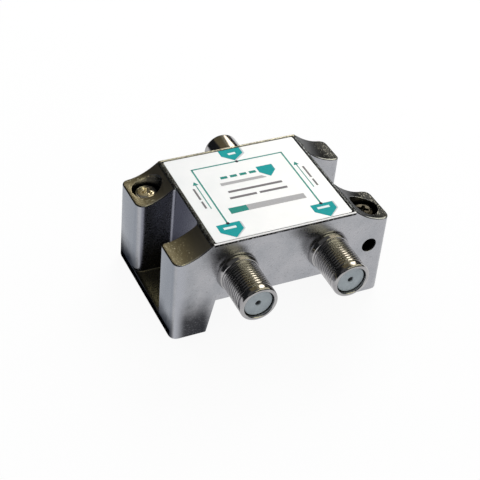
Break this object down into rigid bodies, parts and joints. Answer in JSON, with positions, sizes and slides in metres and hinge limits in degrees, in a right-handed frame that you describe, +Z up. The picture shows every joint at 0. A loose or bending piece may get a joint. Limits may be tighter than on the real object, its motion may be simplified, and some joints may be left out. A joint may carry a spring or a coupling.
{
  "type": "rf power splitter",
  "caption": "Die-cast coaxial signal splitter: one F input behind, two F outputs in front, printed label on a raised platform, ground clamp screws in corner ears.",
  "frame": {"origin": "centre of the housing's footprint, at the height of the soles", "axes": "+X to the right along the front face seen from the front, +Y from the outputs to the input side, +Z up from the soles to the label"},
  "size_m": [0.0568, 0.0582, 0.0266],
  "materials": {
    "die_cast_zinc": "nickel-plated zinc die casting, satin",
    "tinned_steel": "tinned steel sheet",
    "label_film": "white printed film",
    "port_brass": "turned brass, nickel-plated",
    "insulator_plastic": "moulded grey-white plastic",
    "contact_bronze": "phosphor bronze",
    "screw_steel": "zinc-plated steel",
    "board_laminate": "paper-phenolic laminate",
    "ferrite": "bare ferrite",
    "enamelled_copper": "enamelled copper wire",
    "capacitor_ceramic": "dipped ceramic disc",
    "resistor_lacquer": "lacquered film resistor"
  },
  "bodies": {
    "root": {"housing": "die_cast_zinc", "bottom_cover": "tinned_steel", "label": "label_film", "port_shell_input": "port_brass", "port_shell_output_left": "port_brass", "port_shell_output_right": "port_brass", "insulator_input": "insulator_plastic", "insulator_output_left": "insulator_plastic", "insulator_output_right": "insulator_plastic", "contact_input": "contact_bronze", "contact_output_left": "contact_bronze", "contact_output_right": "contact_bronze", "ground_screw_front": "screw_steel", "ground_screw_rear": "screw_steel", "circuit_board": "board_laminate", "matching_core": "ferrite", "splitting_core": "ferrite", "choke_core_left": "ferrite", "choke_core_right": "ferrite", "matching_winding": "enamelled_copper", "splitting_winding": "enamelled_copper", "choke_coil_left": "enamelled_copper", "choke_coil_right": "enamelled_copper", "input_capacitor": "capacitor_ceramic", "output_capacitor_left": "capacitor_ceramic", "output_capacitor_right": "capacitor_ceramic", "balance_resistor": "resistor_lacquer"}
  },
  "joints": []
}
